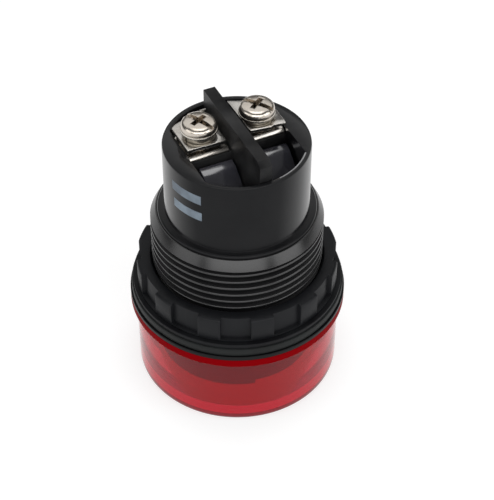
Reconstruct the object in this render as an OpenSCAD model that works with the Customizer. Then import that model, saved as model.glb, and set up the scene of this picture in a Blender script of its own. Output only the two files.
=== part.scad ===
// Round panel pilot light: red lens, threaded barrel, ring nut and two screw terminals.
// The lens face lies on the plane z = 0 and the terminals point up.

/* [Lens] */
// outside radius of the lens side wall
lens_r = 18.2; // [14:0.1:24]
// thickness of the lens wall and face
lens_wall = 1.5; // [0.8:0.1:3]
// height of the lens from its face to the lower edge of its lip
lens_side_h = 15.0; // [10:0.1:25]
// height of the lens lip
lens_lip_h = 1.6; // [0.8:0.1:4]
// how far the lip and the bezel stand out from the lens wall
lip_out = 1.0; // [0.3:0.1:3]
// radius of the rounded edge of the lens face
lens_edge_r = 1.0; // [0.3:0.1:1.4]

/* [Lamp holder and lamps] */
// outside radius of the lamp holder skirt
holder_r = 14.9; // [11:0.1:16]
// wall of the lamp holder
holder_wall = 1.2; // [0.8:0.1:2]
// height of the holder's lower edge above the lens face
holder_gap = 5.8; // [3:0.1:9]
// height of the shallow step round half of the holder's edge
holder_step = 0.6; // [0.2:0.1:1]
// number of lamps
led_count = 4; // [2:1:6]
// radius of a lamp's round body
led_r = 2.5; // [1.5:0.1:3]
// distance of the lamps' centres inside the holder's skirt
led_in = 7.3; // [6:0.1:9]
// thickness of the circuit board
board_t = 1.6; // [0.8:0.1:2.4]

/* [Parts on the board] */
// length of the capacitor
cap_l = 8.4; // [5:0.1:9]
// thickness of the capacitor
cap_t = 5; // [3:0.1:6]
// height of the capacitor
cap_h = 8.6; // [5:0.1:12]
// radius of the dropper resistor's body
res_r = 2.1; // [1:0.1:2.6]
// length of the dropper resistor's body
res_l = 8; // [5:0.5:10]
// height of the resistor's axis above the board
res_up = 3.4; // [2.6:0.1:5]
// radius of the resistor's leads
res_lead_r = 0.35; // [0.2:0.05:0.5]
// length of the rectifier
rect_l = 8; // [5:0.5:10]
// width of the rectifier
rect_w = 5.4; // [4:0.1:6]
// height of the rectifier
rect_h = 3.2; // [2:0.1:5]

/* [Barrel] */
// outside diameter of the barrel thread
thread_d = 30; // [20:0.5:40]
// pitch of the barrel thread
thread_pitch = 1.5; // [1:0.25:2]
// thickness of the bezel flange
bezel_t = 0.8; // [0.5:0.1:3]
// height of the barrel above the bezel flange
barrel_h = 17.9; // [14:0.1:30]
// height of the lead-in cone at the barrel's end
cone_h = 1.8; // [0.5:0.1:3]
// how far the lead-in cone comes in
cone_in = 0.95; // [0.3:0.05:1.0]
// wall left in the cone's mouth
mouth_wall = 0.22; // [0.15:0.01:0.6]

/* [Gasket, washer and nut] */
// width of the gasket's ring
gasket_w = 3.8; // [2:0.1:6]
// thickness of the gasket
gasket_t = 1.6; // [0.8:0.1:3]
// width of the nut washer's ring
washer_w = 3.53; // [2:0.01:6]
// thickness of the nut washer
washer_t = 0.8; // [0.4:0.1:2]
// wall of the nut behind its pockets
nut_wall = 1.93; // [1.2:0.01:4]
// depth of the pockets between the nut's blocks
pocket_depth = 0.8; // [0.3:0.1:1.5]
// height of the nut
nut_h = 4.9; // [3:0.1:10]
// height of the plain ring under the nut's blocks
nut_foot = 0.4; // [0.2:0.1:1.5]
// number of blocks round the nut
nut_blocks = 12; // [6:1:24]
// angle taken up by one block
block_angle = 13; // [6:0.5:20]
// angle of the nut at rest
nut_turn = 19; // [0:1:30]
// radial clearance of the nut on the thread
nut_fit = 0.07; // [0.03:0.01:0.1]

/* [Rear body] */
// outside radius of the rear body
body_r = 12.45; // [10:0.05:13]
// height of the rear body's rim above the barrel's end
body_h = 13.95; // [10:0.05:20]
// wall of the rear body at the ends of its recess
body_wall = 0.95; // [0.7:0.05:2]
// distance of the recess's flats from the middle plane
flat_x = 9.0; // [7.5:0.1:9.6]
// depth of the recess below the rim
recess_depth = 8.0; // [5:0.1:9]
// length of the plug inside the barrel
plug_h = 5.0; // [3:0.1:8]
// how far the plug stands out of the barrel
plug_out = 0.5; // [0.2:0.1:1.5]

/* [Terminal block] */
// thickness of the barrier between the terminals
fin_t = 2.1; // [1.2:0.1:3]
// length of the barrier
fin_len = 22.0; // [16:0.1:22.4]
// height of the barrier above the rim
fin_up = 3.4; // [1:0.1:6]
// distance of the terminal screws from the middle plane
term_x = 5.3; // [4.6:0.05:5.5]
// distance of the terminal screws behind the axis
term_y = 3.4; // [2:0.05:4.5]
// width of a terminal plate
plate_w = 6.9; // [5:0.1:7]
// distance of the plates' front edge in front of the screw
plate_front = 3.2; // [2.6:0.1:4]
// height of the wire gap between the plates
wire_gap = 1.0; // [0.6:0.1:2]
// how far a fixed plate reaches past its clamp plate on the outside
fixed_out = 0.15; // [0:0.05:0.2]
// thickness of the fixed terminal plate
plate_t = 0.9; // [0.6:0.05:1.5]
// thickness of the clamp plate
clamp_t = 0.7; // [0.4:0.05:1.2]
// height of the clamp plate's top above the rim
clamp_up = 0.8; // [0.2:0.1:2]
// radius of a terminal screw's thread
screw_r = 1.75; // [1.25:0.05:2]
// radius of a terminal screw's head
head_r = 3.05; // [2.4:0.05:3.3]
// height of a terminal screw's head
head_h = 1.5; // [1.2:0.1:2.6]
// how much of a terminal screw's head is dome
dome_h = 0.7; // [0.2:0.05:1]
// thickness of the spring washer
spring_t = 1.5; // [0.5:0.1:2]
// thickness of the flat washer
flat_t = 0.5; // [0.3:0.1:1]
// width of the left wire ramp
ramp_w_left = 5.8; // [3:0.1:6.2]
// width of the right wire ramp
ramp_w_right = 7.0; // [3:0.1:7.2]
// length of the wire ramps
ramp_len = 7.2; // [4:0.1:8]
// how far the wire ramps' tops lie below the rim
ramp_down = 2.6; // [1:0.1:4]

/* [Hidden] */
$fn = 96;
pitch_angle = 360 / nut_blocks;
lip_r = lens_r + lip_out;
bezel_z = lens_side_h + lens_lip_h;
gasket_fit = 0.1;
seat_z = bezel_z + bezel_t;
washer_z = seat_z + gasket_t;
nut_z = washer_z + washer_t;
nut_top = nut_z + nut_h;
thread_r = thread_d / 2;
gasket_r = thread_r + gasket_fit + gasket_w;
washer_r = thread_r + nut_fit + washer_w;
nut_r = thread_r + nut_fit + nut_wall + pocket_depth;
groove = thread_pitch * 0.6134;
barrel_top = seat_z + barrel_h;
thread_top = barrel_top - cone_h;
turns = floor((thread_top - nut_top - 0.3) / thread_pitch);
mouth_r = thread_r - cone_in - mouth_wall;
plug_r = mouth_r - 0.1;
plug_top = barrel_top + plug_out;
rim_z = barrel_top + body_h;
recess_r = body_r - body_wall;
floor_z = rim_z - recess_depth;
block_gap = 0.08;
ledge = 1.1;
ledge_z = plug_top + 1.2;
shaft_r = recess_r - ledge;
holder_in = holder_r - holder_wall;
led_ring_r = holder_r - led_in;
holder_floor = 1.2;
ledge_h = 2.0;
board_z = holder_gap + holder_floor + ledge_h;
board_top = board_z + board_t;
board_r = holder_in - 0.1;
led_flange_r = led_r + 0.4;
led_flange_t = 1.0;
led_tip = lens_wall + 0.6;
holder_rim_h = 1.0;
clamp_top = rim_z + clamp_up;
clamp_z = clamp_top - clamp_t;
term_top = clamp_z - wire_gap;
term_z = term_top - plate_t;
spring_z = clamp_top;
flat_z = spring_z + spring_t;
head_z = flat_z + flat_t;
head_top = head_z + head_h;
dome_r = (head_r * head_r + dome_h * dome_h) / (2 * dome_h);
thread_reach = 3.0;
shank_end = term_z - thread_reach;
nut_plate_r = screw_r + 0.06;
wash_in = screw_r + 0.15;
plate_x0 = term_x - plate_w / 2;
plate_y0 = term_y - plate_front;
plate_back_r = recess_r - 0.9;
tail_w = 2.4;
tail_y = term_y + screw_r + 1.1;
tail_t = 0.9;
tail_fit = 0.05;
tail_end = ledge_z - 1.6;
pin_r = 0.45;
ramp_x = fin_t / 2 + 0.55;
ramp_back = plate_y0 - 1.1;
ramp_top = rim_z - ramp_down;
ramp_crest = 1.6;

// a ring between two radii, standing on z
module ring(outer, inner, z, h) {
  translate([0, 0, z]) difference() {
    cylinder(r = outer, h = h);
    translate([0, 0, -1]) cylinder(r = inner, h = h + 2);
  }
}

// the plan of the recess: a circle cut by two flats
module slot_plan(r, x) {
  intersection() {
    circle(r = r);
    square([2 * x, 3 * r], center = true);
  }
}

module lens_cap() {
  color([0.8, 0.05, 0.05])
  rotate_extrude() union() {
    translate([0, 0]) square([lens_r - lens_edge_r, lens_wall]);
    translate([lens_r - lens_edge_r, lens_edge_r]) intersection() {
      circle(r = lens_edge_r);
      translate([0, -lens_edge_r]) square([lens_edge_r, lens_edge_r]);
    }
    translate([lens_r - lens_wall, lens_edge_r]) square([lens_wall, bezel_z - lens_edge_r]);
    translate([lens_r - lens_wall, lens_side_h]) square([lens_wall + lip_out, lens_lip_h]);
  }
}

module lamp_holder() {
  color([0.12, 0.1, 0.1]) difference() {
    union() {
      translate([0, 0, holder_gap]) cylinder(r = holder_r, h = bezel_z - holder_gap);
      translate([0, 0, bezel_z - holder_rim_h]) cylinder(r = holder_r + 0.9, h = holder_rim_h);
    }
    translate([0, 0, board_z]) cylinder(r = holder_in, h = bezel_z);
    translate([0, 0, holder_gap + holder_floor]) cylinder(r = holder_in - 1.2, h = bezel_z);
    // the shallow step round half of the lower edge
    rotate([0, 0, -103]) translate([-2 * holder_r, 0, holder_gap - 1])
      difference() {
        cube([4 * holder_r, 2 * holder_r, 1 + holder_step]);
        translate([2 * holder_r, 0, -1]) cylinder(r = holder_r - 0.8, h = 4);
      }
    for (i = [0 : led_count - 1])
      rotate([0, 0, 360 / led_count * i]) translate([led_ring_r, 0, holder_gap - 1])
        cylinder(r = led_r + 0.2, h = holder_floor + 2);
  }
}

module circuit_board() {
  color([0.75, 0.7, 0.5]) translate([0, 0, board_z]) cylinder(r = board_r, h = board_t);
}

module led(i) {
  color([0.9, 0.2, 0.2]) rotate([0, 0, 360 / 4 * i]) translate([led_ring_r, 0, 0]) union() {
    translate([0, 0, led_tip + led_r]) sphere(r = led_r);
    translate([0, 0, led_tip + led_r]) cylinder(r = led_r, h = board_z - led_tip - led_r);
    translate([0, 0, board_z - led_flange_t]) cylinder(r = led_flange_r, h = led_flange_t);
  }
}

module led_front() {
  led(3);
}

module led_back() {
  led(1);
}

module led_left() {
  led(2);
}

module led_right() {
  led(0);
}

module capacitor() {
  color([0.75, 0.5, 0.1]) translate([-cap_l / 2, 3.4, board_top])
    cube([cap_l, cap_t, cap_h]);
}

module dropper_resistor() {
  color([0.6, 0.75, 0.8]) translate([0, -res_r - rect_w / 2 - 1.6, board_top]) union() {
    translate([-res_l / 2, 0, res_up]) rotate([0, 90, 0]) cylinder(r = res_r, h = res_l);
    for (s = [-1, 1]) {
      translate([s * (res_l / 2 + 2), 0, 0]) cylinder(r = res_lead_r, h = res_up);
      translate([s * (res_l / 2 + 2), 0, res_up]) sphere(r = res_lead_r);
    }
    translate([-res_l / 2 - 2, 0, res_up]) rotate([0, 90, 0])
      cylinder(r = res_lead_r, h = res_l + 4);
  }
}

module rectifier() {
  color([0.1, 0.1, 0.1]) translate([-rect_l / 2, -rect_w / 2 - 0.3, board_top])
    cube([rect_l, rect_w, rect_h]);
}

module lead_pin(s) {
  color([0.75, 0.73, 0.7])
  translate([s * term_x, tail_y, board_top]) cylinder(r = pin_r, h = tail_end - board_top);
}

module lead_pin_left() {
  lead_pin(-1);
}

module lead_pin_right() {
  lead_pin(1);
}

module barrel() {
  color([0.08, 0.08, 0.09]) difference() {
    union() {
      translate([0, 0, bezel_z]) cylinder(r = lip_r, h = bezel_t);
      translate([0, 0, seat_z]) cylinder(r = thread_r, h = thread_top - seat_z);
      translate([0, 0, thread_top])
        cylinder(r1 = thread_r, r2 = thread_r - cone_in, h = cone_h);
    }
    translate([0, 0, bezel_z - 1]) cylinder(r = plug_r - 0.9, h = barrel_h + 3);
    translate([0, 0, barrel_top - plug_h]) cylinder(r = mouth_r, h = plug_h + 1);
    for (i = [0 : turns - 1])
      translate([0, 0, thread_top - 0.5 - thread_pitch * (i + 0.5)])
        rotate_extrude() polygon([[thread_r + 0.5, 0.95 * thread_pitch / 2],
          [thread_r, 0.88 * thread_pitch / 2], [thread_r - groove, 0.1],
          [thread_r - groove, -0.1], [thread_r, -0.88 * thread_pitch / 2],
          [thread_r + 0.5, -0.95 * thread_pitch / 2]]);
  }
}

module panel_gasket() {
  color([0.1, 0.1, 0.1]) ring(gasket_r, thread_r + gasket_fit, seat_z, gasket_t);
}

module nut_washer() {
  color([0.25, 0.25, 0.26]) ring(washer_r, thread_r + nut_fit, washer_z, washer_t);
}

module ring_nut() {
  color([0.07, 0.07, 0.07]) difference() {
    union() {
      translate([0, 0, nut_z]) cylinder(r = nut_r, h = nut_foot);
      translate([0, 0, nut_z]) cylinder(r = nut_r - pocket_depth, h = nut_h);
      intersection() {
        translate([0, 0, nut_z]) union() {
          cylinder(r = nut_r, h = nut_h - 0.3);
          translate([0, 0, nut_h - 0.3]) cylinder(r1 = nut_r, r2 = nut_r - 0.3, h = 0.3);
        }
        for (i = [0 : nut_blocks - 1])
          rotate([0, 0, nut_turn + pitch_angle * i]) translate([0, 0, nut_z])
            linear_extrude(height = nut_h)
              polygon([[0, 0], [2 * nut_r, -2 * nut_r * tan(block_angle / 2)],
                [2 * nut_r, 2 * nut_r * tan(block_angle / 2)]]);
      }
    }
    translate([0, 0, nut_z - 1]) cylinder(r = thread_r + nut_fit, h = nut_h + 2);
  }
}

module rear_body() {
  color([0.16, 0.16, 0.17]) difference() {
    union() {
      translate([0, 0, barrel_top - plug_h]) cylinder(r = plug_r, h = plug_h + plug_out);
      translate([0, 0, barrel_top]) cylinder(r = body_r, h = body_h);
    }
    translate([0, 0, ledge_z]) linear_extrude(height = body_h + 2)
      slot_plan(recess_r, flat_x);
    translate([0, 0, barrel_top - plug_h - 1]) linear_extrude(height = body_h)
      slot_plan(shaft_r, flat_x - ledge);
  }
}

module terminal_block() {
  color([0.15, 0.15, 0.16]) difference() {
    union() {
      translate([0, 0, ledge_z]) linear_extrude(height = floor_z - ledge_z)
        slot_plan(recess_r - block_gap, flat_x - block_gap);
      // the raised back part carries the terminals
      intersection() {
        translate([0, 0, ledge_z]) linear_extrude(height = term_z - ledge_z)
          slot_plan(recess_r - block_gap, flat_x - block_gap);
        translate([-body_r, plate_y0 - 0.4, ledge_z]) cube([2 * body_r, body_r, body_h]);
      }
      // the barrier
      translate([-fin_t / 2, -fin_len / 2, ledge_z])
        cube([fin_t, fin_len, rim_z + fin_up - ledge_z]);
    }
    for (s = [-1, 1]) {
      translate([s * term_x, term_y, shank_end - 2])
        cylinder(r = screw_r + 0.5, h = term_z - shank_end + 3);
      translate([s * term_x - tail_w / 2 - tail_fit, tail_y - tail_t / 2 - tail_fit, ledge_z - 1])
        cube([tail_w + 2 * tail_fit, tail_t + 2 * tail_fit, term_z - ledge_z + 2]);
    }
  }
}

// a rounded hump that guides a wire up to its terminal
module wire_ramp(s, w) {
  color([0.03, 0.03, 0.04]) intersection() {
    translate([s * (ramp_x + w / 2) - w / 2, ramp_back - ramp_len, floor_z])
      cube([w, ramp_len, ramp_top - floor_z]);
    translate([s * (ramp_x + w / 2) - w / 2, ramp_back - ramp_crest, ramp_top - ramp_len])
      rotate([0, 90, 0]) cylinder(r = ramp_len, h = w);
    translate([0, 0, floor_z]) cylinder(r = recess_r - 0.3, h = body_h);
  }
}

module wire_ramp_left() {
  wire_ramp(-1, ramp_w_left);
}

module wire_ramp_right() {
  wire_ramp(1, ramp_w_right);
}

// the fixed plate with its tapped hole and its tail through the block
module terminal_plate(s) {
  color([0.8, 0.78, 0.75]) union() {
    difference() {
      translate([0, 0, term_z]) linear_extrude(height = plate_t) intersection() {
        translate([s * (term_x + fixed_out) - plate_w / 2, plate_y0 - 0.15])
          square([plate_w, body_r]);
        circle(r = plate_back_r);
      }
      translate([s * term_x, term_y, term_z - 1]) cylinder(r = nut_plate_r, h = plate_t + 2);
    }
    translate([s * term_x - tail_w / 2, tail_y - tail_t / 2, tail_end])
      cube([tail_w, tail_t, term_z + plate_t / 2 - tail_end]);
  }
}

module terminal_plate_left() {
  terminal_plate(-1);
}

module terminal_plate_right() {
  terminal_plate(1);
}

// the loose square plate that presses on the wire
module clamp_plate(s) {
  color([0.82, 0.8, 0.77]) difference() {
    translate([0, 0, clamp_z]) linear_extrude(height = clamp_t) intersection() {
      translate([s * term_x - plate_w / 2, plate_y0]) square([plate_w, body_r]);
      circle(r = plate_back_r + 0.2);
    }
    translate([s * term_x, term_y, clamp_z - 1]) cylinder(r = wash_in, h = clamp_t + 2);
  }
}

module clamp_plate_left() {
  clamp_plate(-1);
}

module clamp_plate_right() {
  clamp_plate(1);
}

module spring_washer(s) {
  color([0.6, 0.57, 0.52]) translate([s * term_x, term_y, 0])
    ring(head_r - 0.2, wash_in, spring_z, spring_t);
}

module spring_washer_left() {
  spring_washer(-1);
}

module spring_washer_right() {
  spring_washer(1);
}

module flat_washer(s) {
  color([0.8, 0.78, 0.74]) translate([s * term_x, term_y, 0])
    ring(head_r + 0.1, wash_in, flat_z, flat_t);
}

module flat_washer_left() {
  flat_washer(-1);
}

module flat_washer_right() {
  flat_washer(1);
}

// pan head screw with a cross recess crossed by a straight slot
module terminal_screw(s) {
  color([0.85, 0.83, 0.8]) translate([s * term_x, term_y, 0]) difference() {
    union() {
      translate([0, 0, shank_end]) cylinder(r = screw_r, h = head_z - shank_end);
      translate([0, 0, shank_end - 0.6]) cylinder(r1 = screw_r - 0.6, r2 = screw_r, h = 0.6);
      intersection() {
        translate([0, 0, head_z]) cylinder(r = head_r, h = head_h);
        translate([0, 0, head_top - dome_r]) sphere(r = dome_r);
      }
    }
    translate([-head_r - 1, -0.35, head_top - 0.8]) cube([2 * head_r + 2, 0.7, 2]);
    for (a = [0, 90])
      rotate([0, 0, a + 45]) translate([-1.6, -0.35, head_top - 1.3]) cube([3.2, 0.7, 3]);
  }
}

module terminal_screw_left() {
  terminal_screw(-1);
}

module terminal_screw_right() {
  terminal_screw(1);
}

lens_cap();
lamp_holder();
circuit_board();
led_front();
led_back();
led_left();
led_right();
capacitor();
dropper_resistor();
rectifier();
lead_pin_left();
lead_pin_right();
barrel();
panel_gasket();
nut_washer();
ring_nut();
rear_body();
terminal_block();
wire_ramp_left();
wire_ramp_right();
terminal_plate_left();
terminal_plate_right();
clamp_plate_left();
clamp_plate_right();
spring_washer_left();
spring_washer_right();
flat_washer_left();
flat_washer_right();
terminal_screw_left();
terminal_screw_right();
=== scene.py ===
import math
import bpy
from mathutils import Vector, Matrix


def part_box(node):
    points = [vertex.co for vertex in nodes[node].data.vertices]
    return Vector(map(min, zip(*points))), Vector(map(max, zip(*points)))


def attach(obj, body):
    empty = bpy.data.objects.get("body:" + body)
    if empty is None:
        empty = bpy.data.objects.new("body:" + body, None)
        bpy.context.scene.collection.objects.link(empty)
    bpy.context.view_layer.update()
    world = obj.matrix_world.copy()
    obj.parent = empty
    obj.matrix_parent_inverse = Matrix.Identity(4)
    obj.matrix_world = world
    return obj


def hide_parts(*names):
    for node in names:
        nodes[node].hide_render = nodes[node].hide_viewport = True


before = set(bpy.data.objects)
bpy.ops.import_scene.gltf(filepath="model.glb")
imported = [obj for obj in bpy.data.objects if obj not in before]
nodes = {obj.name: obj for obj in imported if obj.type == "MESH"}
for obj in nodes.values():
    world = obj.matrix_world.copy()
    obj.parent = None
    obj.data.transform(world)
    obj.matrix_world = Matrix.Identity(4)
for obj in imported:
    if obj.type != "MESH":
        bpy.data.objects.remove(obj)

MM = 0.001
TURN = 2 * math.pi
WELD = 2e-6
FAR = 40.0
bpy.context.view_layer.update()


# ---------------------------------------------------------------- bench tools

def low(node):
    """The lowest corner of a solid's box, in mm."""
    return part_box(node)[0] / MM


def high(node):
    """The highest corner of a solid's box, in mm."""
    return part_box(node)[1] / MM


def edit():
    bpy.ops.object.mode_set(mode="EDIT")


def leave():
    bpy.ops.object.mode_set(mode="OBJECT")


def drop_all():
    """Nothing selected, so an operator acts on the new piece alone."""
    if bpy.context.object and bpy.context.object.mode != "OBJECT":
        leave()
    bpy.ops.object.select_all(action="DESELECT")


def take(piece):
    """One piece selected and active."""
    drop_all()
    piece.select_set(True)
    bpy.context.view_layer.objects.active = piece
    return piece


def drawn(name, points):
    """A line drawn by extruding one point from corner to corner, in mm."""
    drop_all()
    bpy.ops.mesh.primitive_plane_add(size=MM)
    piece = bpy.context.object
    piece.name = name
    edit()
    bpy.ops.mesh.select_mode(type="VERT")
    bpy.ops.mesh.select_all(action="SELECT")
    bpy.ops.mesh.merge(type="CENTER")
    at = Vector(points[0]) * MM
    bpy.ops.transform.translate(value=at)
    for point in points[1:]:
        step = Vector(point) * MM - at
        bpy.ops.mesh.extrude_region_move(TRANSFORM_OT_translate={"value": step})
        at += step
    bpy.ops.mesh.select_all(action="SELECT")
    return piece


def merged():
    """Doubled corners welded, and every face turned outward."""
    bpy.ops.mesh.select_all(action="SELECT")
    bpy.ops.mesh.remove_doubles(threshold=WELD)
    bpy.ops.mesh.normals_make_consistent(inside=False)


def turned(name, outline, steps=128):
    """A round piece: a closed outline of (radius, height) spun round the lamp's axis."""
    points = [(r, 0, z) for r, z in outline]
    piece = drawn(name, points + points[:1])
    bpy.ops.mesh.remove_doubles(threshold=WELD)
    bpy.ops.mesh.spin(steps=steps, angle=TURN, center=(0, 0, 0), axis=(0, 0, 1))
    merged()
    leave()
    return piece


def sector(name, outline, start, sweep, steps=12):
    """A filled outline of (radius, height) swept through part of a turn."""
    points = [(r, 0, z) for r, z in outline]
    piece = drawn(name, points + points[:1])
    bpy.ops.mesh.remove_doubles(threshold=WELD)
    bpy.ops.mesh.edge_face_add()
    bpy.ops.mesh.spin(steps=steps, angle=-math.radians(sweep), center=(0, 0, 0),
                      axis=(0, 0, 1))
    merged()
    bpy.ops.transform.rotate(value=-math.radians(start), orient_axis="Z",
                             center_override=(0, 0, 0))
    leave()
    return piece


def sheet_cut(name, outline, bottom, thick):
    """A flat piece: a closed outline of (x, y) given its thickness."""
    points = [(x, y, bottom) for x, y in outline]
    piece = drawn(name, points + points[:1])
    bpy.ops.mesh.remove_doubles(threshold=WELD)
    bpy.ops.mesh.edge_face_add()
    bpy.ops.mesh.extrude_region_move(
        TRANSFORM_OT_translate={"value": (0, 0, thick * MM)})
    merged()
    leave()
    return piece


def bar(name, corner, size):
    """A rectangular bar from its lowest corner and its size, in mm."""
    drop_all()
    bpy.ops.mesh.primitive_cube_add(size=1)
    piece = bpy.context.object
    piece.name = name
    edit()
    bpy.ops.mesh.select_all(action="SELECT")
    bpy.ops.transform.translate(value=(0.5, 0.5, 0.5))
    bpy.ops.transform.resize(value=Vector(size) * MM, center_override=(0, 0, 0))
    bpy.ops.transform.translate(value=Vector(corner) * MM)
    leave()
    return piece


def rod(name, radius, foot, height, sides=64):
    """A straight round rod standing on a point, in mm."""
    drop_all()
    centre = (Vector(foot) + Vector((0, 0, height / 2))) * MM
    bpy.ops.mesh.primitive_cylinder_add(vertices=sides, radius=radius * MM,
                                        depth=height * MM, location=centre)
    piece = bpy.context.object
    piece.name = name
    bpy.ops.object.transform_apply(location=True, rotation=True, scale=True)
    return piece


def turn_piece(piece, degrees, axis="Z"):
    """Turns a piece about an axis through the origin, inside its mesh."""
    take(piece)
    edit()
    bpy.ops.mesh.select_all(action="SELECT")
    bpy.ops.transform.rotate(value=-math.radians(degrees), orient_axis=axis,
                             center_override=(0, 0, 0))
    leave()
    return piece


def move_piece(piece, step):
    """Shifts a piece by a step in mm, inside its mesh."""
    take(piece)
    edit()
    bpy.ops.mesh.select_all(action="SELECT")
    bpy.ops.transform.translate(value=Vector(step) * MM)
    leave()
    return piece


def copied(piece, name):
    twin = piece.copy()
    twin.data = piece.data.copy()
    twin.name = name
    bpy.context.scene.collection.objects.link(twin)
    return twin


def joined(pieces, name):
    drop_all()
    for piece in pieces:
        piece.select_set(True)
    bpy.context.view_layer.objects.active = pieces[0]
    bpy.ops.object.join()
    pieces[0].name = name
    return pieces[0]


def carve(piece, tool, way="DIFFERENCE"):
    """Cuts, joins or trims a piece with a tool, which is used up."""
    take(piece)
    cutter = piece.modifiers.new("carve", "BOOLEAN")
    cutter.operation = way
    cutter.solver = "EXACT"
    cutter.object = tool
    bpy.ops.object.modifier_apply(modifier="carve")
    bpy.data.objects.remove(tool)
    return piece


def eased(piece, width, segments=2, angle=35):
    """Rounds every sharp edge by a width in mm."""
    take(piece)
    round_over = piece.modifiers.new("ease", "BEVEL")
    round_over.width = width * MM
    round_over.segments = segments
    round_over.limit_method = "ANGLE"
    round_over.angle_limit = math.radians(angle)
    round_over.use_clamp_overlap = True
    bpy.ops.object.modifier_apply(modifier="ease")
    return piece


def threaded(name, radius, pitch, depth, bottom, top, steps=96):
    """A right-handed screw thread, wound from one tooth and trimmed flat at both ends.

    The tooth's corners are shares of the depth inward and of the pitch upward.
    """
    start = bottom - 1.5 * pitch
    shape = [(1.0, 0.0), (1.0, 0.16), (0.10, 0.45), (0.03, 0.475), (0.0, 0.50), (0.0, 0.63),
             (0.02, 0.66), (0.05, 0.69), (0.09, 0.715), (0.15, 0.74), (1.0, 1.0)]
    tooth = [(radius - inward * depth, 0, start + up * pitch) for inward, up in shape]
    piece = drawn(name, tooth)
    leave()
    wind = piece.modifiers.new("wind", "SCREW")
    wind.axis = "Z"
    wind.angle = TURN
    wind.screw_offset = pitch * MM
    wind.iterations = int((top - bottom) / pitch) + 4
    wind.steps = steps
    wind.render_steps = steps
    wind.use_merge_vertices = True
    wind.merge_threshold = WELD
    take(piece)
    bpy.ops.object.modifier_apply(modifier="wind")
    edit()
    merged()
    for height, way in ((bottom, -1), (top, 1)):
        bpy.ops.mesh.select_all(action="SELECT")
        bpy.ops.mesh.bisect(plane_co=(0, 0, height * MM), plane_no=(0, 0, way),
                            use_fill=True, clear_outer=True)
    merged()
    leave()
    return piece


def painted(piece, finish_index, belongs):
    """Another of the piece's finishes for the faces that a test picks.

    The test is given each face's centre as a radius, a height (mm) and a bearing (degrees).
    """
    for polygon in piece.data.polygons:
        x, y, z = polygon.center / MM
        if belongs(math.hypot(x, y), z, math.degrees(math.atan2(y, x))):
            polygon.material_index = finish_index
    return piece


def done(piece, body, finish, replaces=(), smooth=32):
    """Puts a finish on a piece and hands it to the body that carries it.

    It hides the parts that the piece replaces.
    """
    take(piece)
    bpy.ops.object.shade_smooth_by_angle(angle=math.radians(smooth))
    bpy.ops.object.transform_apply(location=True, rotation=True, scale=True)
    piece.data.materials.clear()
    for material in (finish if isinstance(finish, (list, tuple)) else [finish]):
        piece.data.materials.append(material)
    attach(piece, body)
    if replaces:
        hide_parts(*replaces)
    return piece


# ---------------------------------------------------------------- finishes

def socketed(tree, name, kind, way, value=None):
    socket = tree.interface.new_socket(name=name, in_out=way, socket_type=kind)
    if value is not None:
        socket.default_value = value
    return socket


def math_node(tree, operation, a, b):
    node = tree.nodes.new("ShaderNodeMath")
    node.operation = operation
    for i, value in enumerate((a, b)):
        if isinstance(value, (int, float)):
            node.inputs[i].default_value = value
        else:
            tree.links.new(value, node.inputs[i])
    return node.outputs[0]


def blend_node(tree, factor, a, b):
    node = tree.nodes.new("ShaderNodeMix")
    node.data_type = "RGBA"
    tree.links.new(factor, node.inputs["Factor"])
    for name, value in (("A", a), ("B", b)):
        socket = [s for s in node.inputs if s.name == name and s.type == "RGBA"][0]
        if isinstance(value, tuple):
            socket.default_value = value
        else:
            tree.links.new(value, socket)
    return [s for s in node.outputs if s.type == "RGBA"][0]


def noise_node(tree, vector, scale, detail=3.0):
    node = tree.nodes.new("ShaderNodeTexNoise")
    node.inputs["Detail"].default_value = detail
    node.inputs["Roughness"].default_value = 0.55
    if isinstance(scale, (int, float)):
        node.inputs["Scale"].default_value = scale
    else:
        tree.links.new(scale, node.inputs["Scale"])
    tree.links.new(vector, node.inputs["Vector"])
    return node.outputs["Fac"]


def ramp_node(tree, factor, low_end, high_end):
    node = tree.nodes.new("ShaderNodeMapRange")
    node.inputs["From Min"].default_value = low_end
    node.inputs["From Max"].default_value = high_end
    tree.links.new(factor, node.inputs["Value"])
    return node.outputs["Result"]


def grain_group():
    """Moulded surface: fine grain and soft cloudiness."""
    tree = bpy.data.node_groups.new("moulded_surface", "ShaderNodeTree")
    socketed(tree, "Vector", "NodeSocketVector", "INPUT")
    socketed(tree, "Colour", "NodeSocketColor", "INPUT", (0.1, 0.1, 0.1, 1))
    socketed(tree, "Cloud Colour", "NodeSocketColor", "INPUT", (0.15, 0.15, 0.15, 1))
    socketed(tree, "Grain mm", "NodeSocketFloat", "INPUT", 0.15)
    socketed(tree, "Roughness", "NodeSocketFloat", "INPUT", 0.4)
    socketed(tree, "Spread", "NodeSocketFloat", "INPUT", 0.1)
    socketed(tree, "Colour", "NodeSocketColor", "OUTPUT")
    socketed(tree, "Roughness", "NodeSocketFloat", "OUTPUT")
    socketed(tree, "Height", "NodeSocketFloat", "OUTPUT")
    goes_in = tree.nodes.new("NodeGroupInput").outputs
    goes_out = tree.nodes.new("NodeGroupOutput").inputs
    fine = noise_node(tree, goes_in["Vector"],
                      math_node(tree, "DIVIDE", 1000.0, goes_in["Grain mm"]), 2.0)
    cloud = noise_node(tree, goes_in["Vector"], 160.0, 4.0)
    patch = ramp_node(tree, cloud, 0.35, 0.7)
    tree.links.new(blend_node(tree, patch, goes_in[1], goes_in["Cloud Colour"]),
                   goes_out["Colour"])
    swing = math_node(tree, "MULTIPLY", goes_in["Spread"],
                      math_node(tree, "SUBTRACT", cloud, 0.5))
    tree.links.new(math_node(tree, "ADD", goes_in["Roughness"], swing),
                   goes_out["Roughness"])
    tree.links.new(fine, goes_out["Height"])
    return tree


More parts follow.
